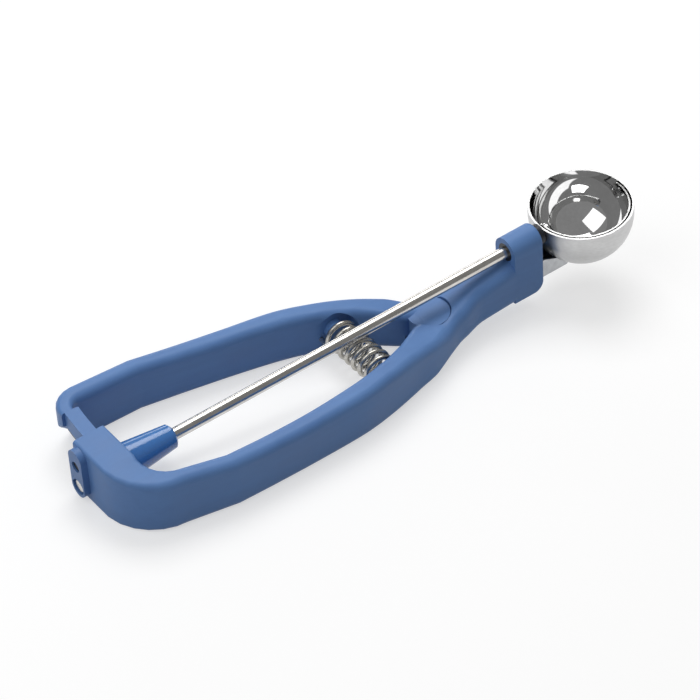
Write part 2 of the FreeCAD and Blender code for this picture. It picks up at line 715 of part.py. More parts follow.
def plate_screw():
    seat = "-(sleeve_rear + 1)"
    return turned("plate_screw", "X", [
        (seat + " - 0.8", "0"), (seat + " - 0.8", "plate_screw_hole - 0.15"),
        (seat, "plate_screw_hole - 0.15"), (seat, "plate_screw_radius"),
        ("-sleeve_rear + plate_screw_length - 0.2", "plate_screw_radius"),
        ("-sleeve_rear + plate_screw_length - 0.2", "0")], ("0", "plate_screw_height"))


def ring(label, start, finish, inner, outer):
    """A plain ring about the rod's axis."""
    return turned(label, "X", [(start, inner), (start, outer), (finish, outer), (finish, inner)])


def bowl():
    """Half-round cup with a short upright lip, drilled for the rod and for the tip pin."""
    body = new_body("bowl")
    profile = new_sketch(body, "bowl_profile", "XZ_Plane", ("bowl_reach", "0", "0"))
    outer, inner, lip = amount("bowl_radius"), amount(BOWL_INNER), amount("bowl_lip")
    vector = FreeCAD.Vector
    profile.addGeometry(Part.LineSegment(vector(outer, 0, 0), vector(outer, lip, 0)), False)
    profile.addGeometry(Part.LineSegment(vector(outer, lip, 0), vector(inner, lip, 0)), False)
    profile.addGeometry(Part.LineSegment(vector(inner, lip, 0), vector(inner, 0, 0)), False)
    wall = Part.Circle(vector(0, 0, 0), vector(0, 0, 1), inner)
    profile.addGeometry(Part.ArcOfCircle(wall, 1.5 * math.pi, 2 * math.pi), False)
    profile.addGeometry(Part.LineSegment(vector(0, -inner, 0), vector(0, -outer, 0)), False)
    skin = Part.Circle(vector(0, 0, 0), vector(0, 0, 1), outer)
    profile.addGeometry(Part.ArcOfCircle(skin, 1.5 * math.pi, 2 * math.pi), False)
    for first, first_end, second, second_end in (
            (0, 2, 1, 1), (1, 2, 2, 1), (2, 2, 3, 2), (3, 1, 4, 1), (4, 2, 5, 1), (5, 2, 0, 1)):
        profile.addConstraint(Sketcher.Constraint("Coincident", first, first_end, second, second_end))
    for arc in (3, 5):
        profile.addConstraint(Sketcher.Constraint("Coincident", arc, 3, -1, 1))
    fix_point(profile, 0, 1, "bowl_radius", "0")
    fix_point(profile, 1, 1, "bowl_radius", "bowl_lip")
    fix_point(profile, 2, 1, BOWL_INNER, "bowl_lip")
    fix_point(profile, 2, 2, BOWL_INNER, "0")
    profile.addConstraint(Sketcher.Constraint("Vertical", 4))
    profile.addConstraint(Sketcher.Constraint("PointOnObject", 4, 1, -2))
    spin = body.newObject("PartDesign::Revolution", "cup")
    spin.Profile = profile
    spin.ReferenceAxis = (profile, ["V_Axis"])
    spin.Angle = 360
    body.Tip = spin
    cylinder(body, "Subtractive", "rod_hole_in_wall", "X", ("bowl_reach - bowl_radius - 1", "0", "0"),
             "rod_radius + loose_clearance", "4")
    cylinder(body, "Subtractive", "tip_hole", "X", ("bowl_reach + bowl_radius - 4", "0", "0"),
             "tip_pin_radius", "6")
    return body


def tip_pin():
    wall = "bowl_reach + bowl_radius + contact_gap"
    inside = "bowl_reach + %s - blade_sheet - 0.3" % BLADE_OUTER
    return turned("tip_pin", "X", [
        (inside, "0"), (inside, "tip_pin_radius - running_clearance"),
        (wall, "tip_pin_radius - running_clearance"), (wall, "tip_head_radius"),
        (wall + " + tip_head_height * 0.5", "tip_head_radius"),
        (wall + " + tip_head_height", "tip_head_radius * 0.5"), (wall + " + tip_head_height", "0")])


def scraper_blade():
    """Half ring of spring steel: a strip of a thin ball, with a round eye at each end."""
    centre = FreeCAD.Vector(amount("bowl_reach"), 0, 0)
    outer = amount(BLADE_OUTER)
    half = amount("blade_width") / 2
    shell = Part.makeSphere(outer, centre).cut(Part.makeSphere(outer - amount("blade_sheet"), centre))
    corner = centre + FreeCAD.Vector(-outer - 1, -outer - 1, -half)
    strip = Part.makeBox(2 * outer + 2, outer + 1, 2 * half, corner)
    along = FreeCAD.Vector(1, 0, 0)
    eyes = Part.makeCylinder(half, 2 * outer + 2, centre - along * (outer + 1), along)
    shape = shell.common(strip.fuse(eyes))
    near_hole = Part.makeCylinder(amount("tenon_radius"), outer, centre - along * (outer + 1), along)
    far_hole = Part.makeCylinder(amount("tip_pin_radius"), outer, centre, along)
    blade = doc.addObject("Part::Feature", "scraper_blade")
    blade.Shape = shape.cut(near_hole).cut(far_hole)
    return blade


def bracket_screw():
    head = "-underside_drop + 0.9"
    neck = "-underside_drop + 1.6"
    tip = "-bracket_base + bracket_sheet"
    return turned("bracket_screw", "Z", [
        (head, "0"), (head, "2 * bracket_screw_radius"), (neck, "2 * bracket_screw_radius"),
        (neck, "bracket_screw_radius"), (tip, "bracket_screw_radius"), (tip, "0")],
        ("bracket_screw_x", "0"))


def bowl_bracket():
    """Folded channel that carries the bowl: its front is cut to the bowl's own curve."""
    body = new_body("bowl_bracket")
    corners = [
        ("bracket_root", "-bracket_base"), ("bracket_reach - 1.5", "-bracket_base"),
        ("bracket_reach", "-bracket_base + 1.5"), ("bracket_reach", "-bracket_base + 3"),
        ("block_front + 1.5", "-bracket_rise"), ("bracket_root", "-bracket_rise")]
    profile = outline(body, "bracket_side", "XZ_Plane", corners)
    pad = body.newObject("PartDesign::Pad", "channel")
    pad.Profile = profile
    pad.Midplane = True
    bind(pad, "Length", "2 * bracket_half_width")
    body.Tip = pad
    block(body, "Subtractive", "channel_inside",
          ("bracket_root - 1", "-(bracket_half_width - bracket_sheet)", "-(bracket_base - bracket_sheet)"),
          ("bracket_reach", "2 * (bracket_half_width - bracket_sheet)", "bracket_base"))
    ball = body.newObject("PartDesign::SubtractiveSphere", "bowl_seat")
    bind(ball, "Placement.Base.x", "bowl_reach")
    bind(ball, "Radius", "bowl_radius")
    cylinder(body, "Subtractive", "bracket_hole", "Z", ("bracket_screw_x", "0", "-underside_drop"),
             "bracket_screw_radius", "underside_drop - bracket_base + 2 * bracket_sheet")
    return body


def pivot_screw():
    head_top = "-underside_drop + screw_head_height + loose_clearance / 2"
    return turned("pivot_screw", "Z", [
        (head_top + " - screw_head_height", "0"), (head_top + " - screw_head_height", "screw_head_radius"),
        (head_top, "screw_head_radius"), (head_top, "screw_radius"),
        ("knuckle_bottom + insert_height - 0.5", "screw_radius"),
        ("knuckle_bottom + insert_height - 0.5", "0")])


def upright_ring(label, low, high, inner, outer):
    """A plain ring about the hinge axis."""
    return turned(label, "Z", [(low, inner), (low, outer), (high, outer), (high, inner)])


def biarc(start, start_way, finish, finish_way):
    """Two tangent arcs from one point and direction to another."""
    chord = finish - start
    ways = start_way + finish_way
    a = 2 * (1 - start_way.dot(finish_way))
    b = 2 * chord.dot(ways)
    c = -chord.dot(chord)
    reach = (-b + math.sqrt(b * b - 4 * a * c)) / (2 * a) if a > 1e-9 else -c / b
    joint = (start + start_way * reach + finish - finish_way * reach) * 0.5
    edges = []
    for one, way, other in ((start, start_way, joint), (joint, None, finish)):
        if way is None:
            edges.append(arc_from_end(one, other, finish_way))
        else:
            edges.append(arc_from_start(one, way, other))
    return edges


def arc_from_start(start, way, finish):
    """The arc that leaves a point in a given direction and ends at another."""
    chord = finish - start
    normal = way.cross(chord).cross(way)
    normal.normalize()
    radius = chord.dot(chord) / (2 * chord.dot(normal))
    centre = start + normal * radius
    middle = (start + finish) * 0.5 - centre
    middle.normalize()
    return Part.Arc(start, centre + middle * radius, finish).toShape()


def arc_from_end(start, finish, way):
    """The arc that reaches a point in a given direction."""
    mirrored = arc_from_start(finish, way * -1, start)
    points = [mirrored.valueAt(mirrored.LastParameter),
              mirrored.valueAt((mirrored.FirstParameter + mirrored.LastParameter) / 2),
              mirrored.valueAt(mirrored.FirstParameter)]
    return Part.Arc(*points).toShape()


def return_spring():
    """Round-wire compression spring across the handles, as one tube along quarter turns."""
    radius = amount("spring_coil_radius")
    wire = amount("spring_wire")
    turns = amount("spring_turns")
    seat = amount("spring_seat")
    bend = 1.1 * wire
    rise_half = seat - wire - bend
    pitch = 2 * rise_half / turns
    quarters = int(round(4 * turns))
    centre = FreeCAD.Vector(amount("spring_x"), 0, amount("spring_z"))

    def spot(part):
        angle = math.pi / 2 * part
        along = -rise_half + 2 * rise_half * part / quarters
        return centre + FreeCAD.Vector(radius * math.cos(angle), along, radius * math.sin(angle))

    def heading(part):
        angle = math.pi / 2 * part
        way = FreeCAD.Vector(
            -radius * math.sin(angle), pitch / (2 * math.pi), radius * math.cos(angle))
        way.normalize()
        return way

    across = FreeCAD.Vector(0, 1, 0)
    edges = []
    for part in range(quarters):
        edges += biarc(spot(part), heading(part), spot(part + 1), heading(part + 1))
    first, last = spot(0), spot(quarters)
    flat_first = FreeCAD.Vector(heading(0).x, 0, heading(0).z)
    flat_last = FreeCAD.Vector(heading(quarters).x, 0, heading(quarters).z)
    start_bend = first - flat_first * bend - across * bend
    end_bend = last + flat_last * bend + across * bend
    head = biarc(start_bend, across, first, heading(0))
    tail = biarc(last, heading(quarters), end_bend, across)
    start = FreeCAD.Vector(start_bend.x, -seat, start_bend.z)
    finish = FreeCAD.Vector(end_bend.x, seat, end_bend.z)
    path = Part.Wire([Part.LineSegment(start, start_bend).toShape()] + head + edges + tail
                     + [Part.LineSegment(end_bend, finish).toShape()])
    ring_edge = Part.Circle(start, across, wire / 2).toShape()
    tube = path.makePipeShell([Part.Wire([ring_edge])], True, False)
    gap = pitch * math.cos(math.atan(pitch / (2 * math.pi * radius))) - wire
    print("spring: least gap between turns %.2f mm, volume ratio %.4f" % (
        gap, tube.Volume / (math.pi * wire * wire / 4 * path.Length)))
    spring = doc.addObject("Part::Feature", "return_spring")
    spring.Shape = tube
    return spring


def place(item):
    """Tips a finished piece with the whole object, so that the handles' underside lies flat."""
    front = ("(bowl_reach + bowl_radius + tip_head_height) * cos(rest_tilt)"
             " + tip_head_radius * sin(rest_tilt)")
    rear = "(sleeve_rear + plate_sheet) * cos(rest_tilt) + plate_top * sin(rest_tilt)"
    across = amount("(%s - (%s)) / 2" % (rear, front))
    lift = amount("underside_drop * cos(rest_tilt) - knee_x * sin(rest_tilt)")
    tip = FreeCAD.Placement(FreeCAD.Vector(across, 0, lift),
                            FreeCAD.Rotation(FreeCAD.Vector(0, -1, 0), amount("rest_tilt")))
    if item.TypeId == "PartDesign::Body" or item.TypeId == "Part::Compound":
        item.Placement = tip
    else:
        item.Placement = tip.multiply(item.Placement)


def make_pieces():
    rod_gap = "rod_radius + running_clearance"
    bush_outer = rod_gap + " + front_bush_wall"
    rear_outer = rod_gap + " + rear_bush_wall"
    floor = "-underside_drop + screw_head_height + loose_clearance"
    return [
        main_handle(), lever_handle(), rack(), rack_rivets(), pinion(), drive_rod(),
        drive_collar(), collar_pin(), rear_plate(), plate_screw(),
        ring("rear_bush", "-sleeve_rear + 0.1", "-" + REAR_WALL_FACE, rod_gap, rear_outer),
        ring("rod_clip", "-sleeve_rear - 2 * clip_gap - clip_sheet", "-sleeve_rear - clip_gap",
             "rod_radius", "clip_radius"),
        ring("front_bush", "block_rear", "block_front - 0.1", rod_gap, bush_outer),
        turned("front_ferrule", "X", [
            ("block_front", rod_gap), ("block_front", "ferrule_radius"),
            ("bowl_reach - bowl_radius - contact_gap", "ferrule_radius"),
            ("bowl_reach - bowl_radius - contact_gap", rod_gap)]),
        bowl(), scraper_blade(),
        ring("scraper_hub", "bowl_reach - sqrt((%s - blade_sheet)^2 - hub_radius^2) + contact_gap"
             % BLADE_OUTER, "bowl_reach - %s + blade_sheet + hub_height" % BLADE_OUTER,
             "tenon_radius", "hub_radius"),
        tip_pin(), bowl_bracket(), bracket_screw(), pivot_screw(),
        upright_ring("pivot_washer", floor, floor + " + washer_sheet",
                     "screw_radius + running_clearance", "washer_radius"),
        upright_ring("pivot_insert", "knuckle_bottom", "knuckle_bottom + insert_height",
                     "screw_radius", "insert_radius"),
        return_spring(),
    ]


def export(pieces):
    """Checks every object, then writes one file for each piece."""
    failed = [item.Label for item in doc.Objects
              if "Invalid" in item.State or "Error" in item.State]
    failed += [item.Label for item in pieces if item.Shape.isNull() or not item.Shape.isValid()]
    if failed:
        raise SystemExit("failed: " + ", ".join(failed))
    os.makedirs("parts", exist_ok=True)
    for item in pieces:
        item.Shape.exportStep("parts/%s.step" % item.Label)
        box = item.Shape.BoundBox
        print("%-14s %d solids %8.0f mm3  x %.1f..%.1f y %.1f..%.1f z %.1f..%.1f" % (
            item.Label, len(item.Shape.Solids), item.Shape.Volume,
            box.XMin, box.XMax, box.YMin, box.YMax, box.ZMin, box.ZMax))


pieces = make_pieces()
doc.recompute()
for piece in pieces:
    place(piece)
doc.recompute()
export(pieces)
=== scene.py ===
"""Looks of the squeeze-handle ice cream scoop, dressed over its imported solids."""
import math

import bmesh
import bpy
import numpy as np
from mathutils import Matrix


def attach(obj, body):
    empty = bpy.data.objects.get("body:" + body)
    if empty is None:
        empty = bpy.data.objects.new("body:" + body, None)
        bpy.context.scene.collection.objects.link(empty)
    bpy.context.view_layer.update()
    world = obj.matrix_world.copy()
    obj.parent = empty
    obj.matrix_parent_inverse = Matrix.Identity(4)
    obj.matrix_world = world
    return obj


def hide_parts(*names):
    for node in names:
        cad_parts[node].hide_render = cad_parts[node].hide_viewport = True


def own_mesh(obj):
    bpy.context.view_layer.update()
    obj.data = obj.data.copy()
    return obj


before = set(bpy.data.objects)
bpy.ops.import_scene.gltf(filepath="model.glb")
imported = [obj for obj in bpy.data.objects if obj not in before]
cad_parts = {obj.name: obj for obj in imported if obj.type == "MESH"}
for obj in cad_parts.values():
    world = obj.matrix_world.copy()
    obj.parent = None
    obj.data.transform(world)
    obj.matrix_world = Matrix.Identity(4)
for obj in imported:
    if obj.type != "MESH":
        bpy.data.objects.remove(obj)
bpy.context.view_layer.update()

# The rod frame has its origin where the hinge axis crosses the rod, X along the rod to the
# bowl, Y to the lever and Z up, in millimetres. The whole scoop rests tipped by TILT.
TILT = math.radians(6.9)
HINGE_SPOT = (30.461168, 23.522577)
BOWL_REACH = 70.8
BOWL_RADIUS = 19.5
BOWL_WALL = 0.8
SPRING_MIDDLE = (-30.5, 0.0, -9.8)
SPRING_SEAT = 16.5


def resting(points):
    """Rod-frame millimetres to the model's metres: a turn by TILT about Y, then a shift."""
    x, y, z = np.moveaxis(np.asarray(points, float), -1, 0)
    along = x * math.cos(TILT) - z * math.sin(TILT) + HINGE_SPOT[0]
    height = x * math.sin(TILT) + z * math.cos(TILT) + HINGE_SPOT[1]
    return np.stack([along, y, height], -1) / 1000


def resting_direction(way):
    """A rod-frame direction in the model's frame."""
    return (resting(way) - resting((0, 0, 0))) * 1000


# ---------------------------------------------------------------- meshes

def weld(points, faces):
    """Joins points nearer than a micrometre and drops the faces that shrink to a line."""
    cells = np.round(points * 1e6).astype(np.int64)
    first, place = np.unique(cells, axis=0, return_index=True, return_inverse=True)[1:]
    faces = place.reshape(-1)[faces]
    if faces.shape[1] == 3:
        whole = ((faces[:, 0] != faces[:, 1]) & (faces[:, 1] != faces[:, 2])
                 & (faces[:, 2] != faces[:, 0]))
        return points[first], faces[whole].tolist()
    return points[first], [list(dict.fromkeys(face)) for face in faces.tolist()]


def new_piece(name, points, faces, body, material, crease, node):
    """A smooth piece with sharp creases above an angle, riding on its body in a node's place."""
    mesh = bpy.data.meshes.new(name)
    mesh.from_pydata(points.tolist(), [], faces)
    mesh.polygons.foreach_set("use_smooth", np.ones(len(mesh.polygons), bool))
    mesh.set_sharp_from_angle(angle=math.radians(crease))
    mesh.materials.append(material)
    piece = bpy.data.objects.new(name, mesh)
    bpy.context.scene.collection.objects.link(piece)
    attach(piece, body)
    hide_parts(node)
    return piece


def numbers(rows, title, width, kind=float):
    """One property of all of a mesh's points, corners or faces as an array."""
    values = np.empty(len(rows) * width, kind)
    rows.foreach_get(title, values)
    return values.reshape(-1, width)


def node_triangles(node):
    """The points and triangles of a CAD node, welded into one surface."""
    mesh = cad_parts[node].data
    corners = numbers(mesh.loops, "vertex_index", 1, np.int64)
    return weld(numbers(mesh.vertices, "co", 3), corners.reshape(-1, 3))


def smooth_copy(node, name, body, slot, material, crease):
    """A node's own surface with smooth shading in place of its facets."""
    points, faces = node_triangles(node)
    return new_piece(name, points, faces, body, material, crease, node)


# Places along the rod where the handles' sections are set: the middle of the section to the
# side, its width and its top edge.
ARM_SPOTS = [(-107.0, 30.2, 7.6, 9.6), (-89.0, 28.8, 8.0, 6.5), (-69.0, 26.9, 8.4, 3.8),
             (-49.0, 24.3, 9.0, 1.8), (-34.0, 20.5, 9.4, -0.4), (-21.0, 15.7, 10.6, -3.0)]
HEAD_SPOTS = [(-9.0, 10.2, 14.3, -6.3), (0.0, 6.0, 15.0, -8.2), (9.0, 1.4, 16.8, -7.2),
              (20.0, 0.0, 13.6, -5.0), (35.9, 0.0, 12.0, -3.4)]
LEVER_SPOTS = [(-9.0, 8.7, 14.4, -6.3), (-2.0, 5.2, 9.0, -8.2)]
UNDERSIDE = -22.0
# The hinge's round, over what length the change fades in round it, how far past a section's edge
# a point still counts as the arm's, and the length of a slice.
HINGE_ROUND, HINGE_FADE, ARM_MARGIN, SLICE = 9.5, 3.0, 1.5, 2.5


def eased(x, places, values):
    """A cubic through the values that never swings past them: each slope is the harmonic mean of
    its neighbours' slopes, or nought where they disagree."""
    chord = np.diff(values) / np.diff(places)
    agree = chord[1:] * chord[:-1] > 0
    both = np.where(agree, chord[1:] + chord[:-1], 1.0)
    slope = np.concatenate([chord[:1], np.where(agree, 2 * chord[1:] * chord[:-1] / both, 0.0),
                            chord[-1:]])
    part = np.clip(np.searchsorted(places, x) - 1, 0, len(chord) - 1)
    length = np.diff(places)[part]
    t = np.clip((x - places[part]) / length, 0, 1)
    return (values[part] * (1 + 2 * t) * (1 - t) ** 2 + values[part + 1] * t * t * (3 - 2 * t)
            + length * t * (1 - t) * (slope[part] * (1 - t) - slope[part + 1] * t))


def flowing_handle(node, name, body, side, spots, material):
    """The handle's own surface, sliced across and carried from straight runs between its sections
    to one flowing curve through them: middle, width and top follow the eased curve instead of the
    straight one. The hinge's round stays as it is."""
    places, middles, widths, tops = np.array(spots).T
    points, faces = node_triangles(node)
    mesh = bpy.data.meshes.new("slices")
    mesh.from_pydata(points.tolist(), [], faces)
    work = bmesh.new()
    work.from_mesh(mesh)
    along = tuple(resting_direction((1, 0, 0)))
    for place in np.arange(places[0] + SLICE / 2, places[-1], SLICE):
        bmesh.ops.bisect_plane(work, geom=work.verts[:] + work.edges[:] + work.faces[:], dist=1e-7,
                               plane_co=tuple(resting((place, 0, 0))), plane_no=along)
    work.to_mesh(mesh)
    work.free()
    faces = [list(face.vertices) for face in mesh.polygons]
    spot = numbers(mesh.vertices, "co", 3) * 1000 - [HINGE_SPOT[0], 0, HINGE_SPOT[1]]
    x = spot[:, 0] * math.cos(TILT) + spot[:, 2] * math.sin(TILT)
    z = spot[:, 2] * math.cos(TILT) - spot[:, 0] * math.sin(TILT)
    y = spot[:, 1] * side
    middle, width, top = (np.interp(x, places, row) for row in (middles, widths, tops))
    free = np.clip((np.hypot(x, y) - HINGE_ROUND) / HINGE_FADE, 0, 1)
    free = free * (x > places[0]) * (x < places[-1])
    free = free * (np.abs(y - middle) < width / 2 + ARM_MARGIN)
    to_side = eased(x, places, middles) + (y - middle) * eased(x, places, widths) / width - y
    height = np.clip((z - UNDERSIDE) / (top - UNDERSIDE), 0, 1)
    to_top = (eased(x, places, tops) - top) * height
    moved = resting(np.stack([x, (y + free * to_side) * side, z + free * to_top], -1))
    return new_piece(name, moved, faces, body, material, 32, node)


def grid_faces(rows, columns):
    """Quads of a grid whose columns close on themselves."""
    row = np.arange(rows - 1)[:, None] * columns
    here = np.arange(columns)[None, :]
    after = (here + 1) % columns
    quads = np.stack([row + here, row + after, row + columns + after, row + columns + here], -1)
    return quads.reshape(-1, 4)


def coil_spring(material):
    """Round wire along a helix about Y: P(t) = (R cos t, rise, R sin t), with a quarter bend and a
    short straight leg at each end; the wire's ring turns about the path's own direction."""
    radius, wire, bend, turns = 5.5, 0.95, 2.09, 6.5
    steps_a_turn, bend_steps, wire_sides = 28, 6, 16
    half_rise = SPRING_SEAT - 2 * wire - bend
    turn = np.linspace(0, 2 * math.pi * turns, int(turns * steps_a_turn) + 1)
    helix = np.stack([radius * np.cos(turn), np.linspace(-half_rise, half_rise, turn.size),
                      radius * np.sin(turn)], -1)
    quarter = np.linspace(0, math.pi / 2, bend_steps + 1)[:, None]
    across = np.array([0.0, 1.0, 0.0])
    ways = [np.array([-math.sin(end), 0, math.cos(end)]) for end in (turn[0], turn[-1])]
    entry = helix[0] - bend * (ways[0] + across)
    head = entry + bend * (np.sin(quarter) * across + (1 - np.cos(quarter)) * ways[0])
    tail = helix[-1] + bend * (np.sin(quarter) * ways[1] + (1 - np.cos(quarter)) * across)
    leg = SPRING_SEAT - half_rise - bend
    low_leg = head[0] - across * np.array([[leg], [leg / 2]])
    high_leg = tail[-1] + across * np.array([[leg / 2], [leg]])
    path = np.concatenate([low_leg, head[:-1], helix, tail[1:], high_leg])
    angle = np.concatenate([np.full(len(low_leg) + bend_steps, turn[0]), turn,
                            np.full(bend_steps + len(high_leg), turn[-1])])
    outward = np.stack([np.cos(angle), 0 * angle, np.sin(angle)], -1)
    heading = np.gradient(path, axis=0)
    heading /= np.linalg.norm(heading, axis=1)[:, None]
    side = np.cross(heading, outward)
    path, outward, side = (np.concatenate([row[:1], row, row[-1:]])
                           for row in (path, outward, side))
    girth = np.full(len(path), wire)
    girth[[0, -1]] = 0
    around = np.linspace(0, 2 * math.pi, wire_sides, endpoint=False)[None, :, None]
    ring = np.cos(around) * outward[:, None] + np.sin(around) * side[:, None]
    surface = SPRING_MIDDLE + path[:, None] + girth[:, None, None] * ring
    points, faces = weld(resting(surface).reshape(-1, 3),
                         grid_faces(len(path), wire_sides)[:, ::-1])
    faces = [face for face in faces if len(face) > 2]
    return new_piece("coil_spring", points, faces, "handle", material, 40,
                     "return_spring")


def bowl_normals(piece):
    """Sets each corner's normal from the bowl's own form: along the ball's radius on the round
    walls, level along the radius on the lip, and the face's own on the rim and in the holes."""
    mesh = piece.data
    points = numbers(mesh.vertices, "co", 3)
    corners = numbers(mesh.loops, "vertex_index", 1, np.int64).reshape(-1, 3)
    facing = numbers(mesh.polygons, "normal", 3)
    up = resting_direction((0, 0, 1))
    spoke = (points - resting((BOWL_REACH, 0, 0))) * 1000
    level = spoke - (spoke @ up)[:, None] * up
    rise = (spoke @ up)[corners]
    normals = np.repeat(facing[:, None], 3, 1)
    for radius, sign in ((BOWL_RADIUS, 1), (BOWL_RADIUS - BOWL_WALL, -1)):
        for ray, side in ((spoke, rise < 0.01), (level, rise > -0.01)):
            size = np.linalg.norm(ray, axis=1)
            on_wall = (np.abs(size[corners] - radius) < 0.02) & side
            flat = ray / np.maximum(size, 1e-9)[:, None] * sign
            agrees = np.einsum("fk,fck->fc", facing, flat[corners]) > 0.7
            whole = (on_wall & agrees).all(1)
            normals[whole] = flat[corners[whole]]
    mesh.normals_split_custom_set(normals.reshape(-1, 3).tolist())


# ---------------------------------------------------------------- shared effects

# Most of a noise's values lie in this span.
NOISE_SPAN = (0.35, 0.65)


def effect(name, inputs, outputs):
    """An empty shader group with named sockets."""
    group = bpy.data.node_groups.new(name, "ShaderNodeTree")
    for title, kind, value in inputs:
        socket = group.interface.new_socket(name=title, in_out="INPUT", socket_type=kind)
        if value is not None:
            socket.default_value = value
    for title, kind in outputs:
        group.interface.new_socket(name=title, in_out="OUTPUT", socket_type=kind)
    return group, group.nodes.new("NodeGroupInput"), group.nodes.new("NodeGroupOutput")


def noise(tree, vector, scale, detail, roughness=0.55):
    """A noise texture fed by a vector; scale is a number or a socket."""
    node = tree.nodes.new("ShaderNodeTexNoise")
    node.inputs["Detail"].default_value = detail
    node.inputs["Roughness"].default_value = roughness
    tree.links.new(vector, node.inputs["Vector"])
    if isinstance(scale, (int, float)):
        node.inputs["Scale"].default_value = scale
    else:
        tree.links.new(scale, node.inputs["Scale"])
    return node.outputs["Fac"]


def remap(tree, value, low, high, to_low, to_high):
    """Carries a value from one span to another; the new span's ends are numbers or sockets."""
    node = tree.nodes.new("ShaderNodeMapRange")
    tree.links.new(value, node.inputs["Value"])
    node.inputs["From Min"].default_value = low
    node.inputs["From Max"].default_value = high
    for title, end in (("To Min", to_low), ("To Max", to_high)):
        if isinstance(end, (int, float)):
            node.inputs[title].default_value = end
        else:
            tree.links.new(end, node.inputs[title])
    return node.outputs["Result"]


def maths(tree, operation, one, two):
    """One step of arithmetic on sockets or numbers."""
    node = tree.nodes.new("ShaderNodeMath")
    node.operation = operation
    for socket, value in zip(node.inputs, (one, two)):
        if isinstance(value, (int, float)):
            socket.default_value = value
        else:
            tree.links.new(value, socket)
    return node.outputs[0]


def blend_colours(tree, share, one, two):
    """Mixes two colours by a share."""
    node = tree.nodes.new("ShaderNodeMix")
    node.data_type = "RGBA"
    tree.links.new(share, node.inputs["Factor"])
    for title, colour in (("A", one), ("B", two)):
        socket = [found for found in node.inputs if found.name == title and found.type == "RGBA"][0]
        if isinstance(colour, tuple):
            socket.default_value = colour
        else:
            tree.links.new(colour, socket)
    return [found for found in node.outputs if found.type == "RGBA"][0]


def moulded_effect():
    """Moulded plastic: fine spark grain in the skin, slow shade changes and faint flow lines."""
    group, given, made = effect(
        "moulded_skin",
        [("Vector", "NodeSocketVector", None), ("Light", "NodeSocketColor", (1, 1, 1, 1)),
         ("Dark", "NodeSocketColor", (0.5, 0.5, 0.5, 1)), ("Grain", "NodeSocketFloat", 3000.0),
         ("Smooth", "NodeSocketFloat", 0.4), ("Rough", "NodeSocketFloat", 0.6)],
        [("Colour", "NodeSocketColor"), ("Roughness", "NodeSocketFloat"),
         ("Height", "NodeSocketFloat")])
    fine = noise(group, given.outputs["Vector"], given.outputs["Grain"], 3)
    slow = noise(group, given.outputs["Vector"], 60.0, 3)
    stretch = group.nodes.new("ShaderNodeVectorMath")
    stretch.operation = "MULTIPLY"
    stretch.inputs[1].default_value = (25.0, 300.0, 300.0)
    group.links.new(given.outputs["Vector"], stretch.inputs[0])
    flow = noise(group, stretch.outputs[0], 1.0, 2)
    tone = maths(group, "ADD", maths(group, "MULTIPLY", slow, 0.55),
                 maths(group, "MULTIPLY", flow, 0.45))
    speck = maths(group, "MULTIPLY", maths(group, "SUBTRACT", fine, 0.5), 0.25)
    tone = maths(group, "ADD", tone, speck)
    share = remap(group, tone, *NOISE_SPAN, 0.0, 1.0)
    colour = blend_colours(group, share, given.outputs["Dark"], given.outputs["Light"])
    group.links.new(colour, made.inputs["Colour"])
    group.links.new(remap(group, tone, *NOISE_SPAN, given.outputs["Smooth"],
                          given.outputs["Rough"]), made.inputs["Roughness"])
    group.links.new(fine, made.inputs["Height"])
    return group


def metal_effect():
    """Worked metal: fine lines along one direction, small pits and a slow change of gloss."""
    group, given, made = effect(
        "worked_metal",
        [("Vector", "NodeSocketVector", None), ("Stretch", "NodeSocketVector", (1, 1, 1)),
         ("Light", "NodeSocketColor", (1, 1, 1, 1)), ("Dark", "NodeSocketColor", (0.5, 0.5, 0.5, 1)),
         ("Smooth", "NodeSocketFloat", 0.1), ("Rough", "NodeSocketFloat", 0.3)],
        [("Colour", "NodeSocketColor"), ("Roughness", "NodeSocketFloat"),
         ("Height", "NodeSocketFloat")])
    stretch = group.nodes.new("ShaderNodeVectorMath")
    stretch.operation = "MULTIPLY"
    group.links.new(given.outputs["Vector"], stretch.inputs[0])
    group.links.new(given.outputs["Stretch"], stretch.inputs[1])
    lines = noise(group, stretch.outputs[0], 1.0, 4, 0.65)
    clouds = noise(group, given.outputs["Vector"], 140.0, 4)
    mixed = maths(group, "ADD", maths(group, "MULTIPLY", lines, 0.6),
                  maths(group, "MULTIPLY", clouds, 0.4))
    share = remap(group, mixed, *NOISE_SPAN, 0.0, 1.0)
    group.links.new(blend_colours(group, share, given.outputs["Dark"], given.outputs["Light"]),
                    made.inputs["Colour"])
    group.links.new(remap(group, mixed, *NOISE_SPAN, given.outputs["Rough"],
                          given.outputs["Smooth"]), made.inputs["Roughness"])
    group.links.new(lines, made.inputs["Height"])
    return group


MOULDED = moulded_effect()
METAL = metal_effect()


def finish(name, group, values, depth, **shader):
    """A material from a shared effect: the effect's colour, roughness and height feed the shader."""
    material = bpy.data.materials.new(name)
    material.use_nodes = True
    tree = material.node_tree
    surface = tree.nodes["Principled BSDF"]
    for title, value in shader.items():
        surface.inputs[title.replace("_", " ")].default_value = value
    where = tree.nodes.new("ShaderNodeTexCoord")
    skin = tree.nodes.new("ShaderNodeGroup")
    skin.node_tree = group
    for title, value in values.items():
        skin.inputs[title].default_value = value
    tree.links.new(where.outputs["Object"], skin.inputs["Vector"])
    tree.links.new(skin.outputs["Colour"], surface.inputs["Base Color"])
    tree.links.new(skin.outputs["Roughness"], surface.inputs["Roughness"])
    bump = tree.nodes.new("ShaderNodeBump")
    bump.inputs["Distance"].default_value = depth
    bump.inputs["Strength"].default_value = 1.0
    tree.links.new(skin.outputs["Height"], bump.inputs["Height"])
    tree.links.new(bump.outputs["Normal"], surface.inputs["Normal"])
    return material


